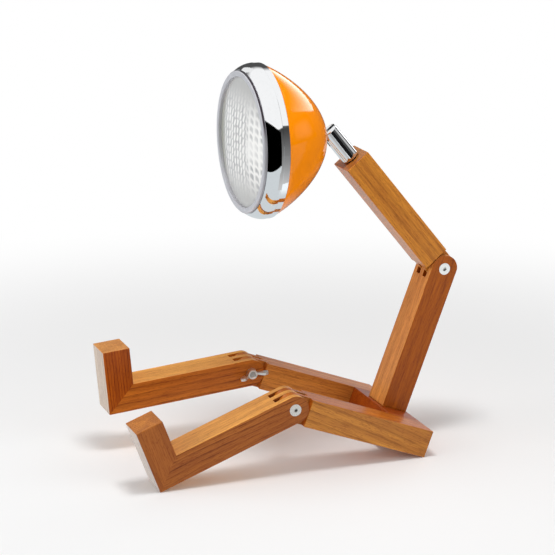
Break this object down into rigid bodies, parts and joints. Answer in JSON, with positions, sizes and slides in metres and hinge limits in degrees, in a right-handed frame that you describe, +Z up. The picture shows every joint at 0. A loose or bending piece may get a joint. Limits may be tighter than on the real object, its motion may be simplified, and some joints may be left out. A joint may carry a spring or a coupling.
{
  "type": "desk lamp",
  "caption": "Posable desk lamp shaped like a sitting wooden figure, with hinged legs and waist and a round headlamp as its head.",
  "frame": {"origin": "centre of the bounding box's base, on the surface that the figure sits on", "axes": "+Z up, -Y the way that the figure faces, +X towards its left side"},
  "size_m": [0.162, 0.3616, 0.3943],
  "materials": {
    "oiled_wood": "satin oiled hardwood",
    "dowel_wood": "raw",
    "nickel": "bright nickel plate",
    "chrome": "polished",
    "bronze_bush": "turned",
    "orange_paint": "gloss",
    "silver_paint": "satin",
    "lens_glass": "clear, pressed with flutes and prisms",
    "bulb_glass": "clear",
    "reflector": "bright",
    "rubber": "matt",
    "holder": "glazed",
    "terminal": "matt",
    "lead": "gloss sleeve"
  },
  "bodies": {
    "seat_frame": {"thigh_left": "oiled_wood", "thigh_right": "oiled_wood", "seat_block": "oiled_wood", "seat_dowels": "dowel_wood", "torso_lower": "oiled_wood", "torso_screws": "nickel", "waist_bolt": "nickel", "waist_washer": "nickel"},
    "waist_nut": {"waist_wing_nut": "nickel"},
    "left_leg": {"shin_left": "oiled_wood", "foot_left": "oiled_wood", "mitre_dowels_left": "dowel_wood", "knee_bolt_left": "nickel", "knee_washer_left": "nickel"},
    "left_knee_nut": {"knee_wing_nut_left": "nickel"},
    "right_leg": {"shin_right": "oiled_wood", "foot_right": "oiled_wood", "mitre_dowels_right": "dowel_wood", "knee_bolt_right": "nickel", "knee_washer_right": "nickel"},
    "right_knee_nut": {"knee_wing_nut_right": "nickel"},
    "upper_torso": {"torso_upper": "oiled_wood", "neck_bush": "bronze_bush"},
    "neck": {"neck_washer": "rubber", "neck_post": "chrome", "neck_clip": "nickel", "tilt_pin": "nickel"},
    "head": {"head_shell": "orange_paint", "trim_ring": "chrome", "lens_rim": "silver_paint", "lens": "lens_glass", "lens_gasket": "rubber", "reflector": "reflector", "snap_ring": "nickel", "lamp_holder": "holder", "bulb_base": "nickel", "bulb": "bulb_glass", "tilt_bracket": "nickel", "bracket_screws": "nickel", "cable_entry": "rubber", "terminal_block": "terminal", "holder_leads": "lead"}
  },
  "joints": [
    {"name": "knee_left", "type": "hinge", "parent": "seat_frame", "child": "left_leg", "pos_m": [0.063, -0.01952, 0.06647], "axis": [-1, 0, 0], "range_deg": [-49, 131]},
    {"name": "knee_right", "type": "hinge", "parent": "seat_frame", "child": "right_leg", "pos_m": [-0.063, -0.01952, 0.06647], "axis": [-1, 0, 0], "range_deg": [-64.5, 115.5]},
    {"name": "waist", "type": "hinge", "parent": "seat_frame", "child": "upper_torso", "pos_m": [0, 0.16682, 0.17509], "axis": [-1, 0, 0], "range_deg": [-30.3, 149.7]},
    {"name": "neck_swivel", "type": "hinge", "parent": "upper_torso", "child": "neck", "pos_m": [0, 0.07012, 0.29365], "axis": [0, -0.632, 0.7749], "range_deg": [-90, 90]},
    {"name": "head_tilt", "type": "hinge", "parent": "neck", "child": "head", "pos_m": [0, 0.05021, 0.31806], "axis": [-1, 0, 0], "range_deg": [-30, 60]},
    {"name": "left_knee_nut_turn", "type": "hinge", "parent": "left_leg", "child": "left_knee_nut", "pos_m": [0.063, -0.01952, 0.06647], "axis": [1, 0, 0], "continuous": true},
    {"name": "right_knee_nut_turn", "type": "hinge", "parent": "right_leg", "child": "right_knee_nut", "pos_m": [-0.063, -0.01952, 0.06647], "axis": [1, 0, 0], "continuous": true},
    {"name": "waist_nut_turn", "type": "hinge", "parent": "seat_frame", "child": "waist_nut", "pos_m": [0, 0.16682, 0.17509], "axis": [1, 0, 0], "continuous": true}
  ]
}
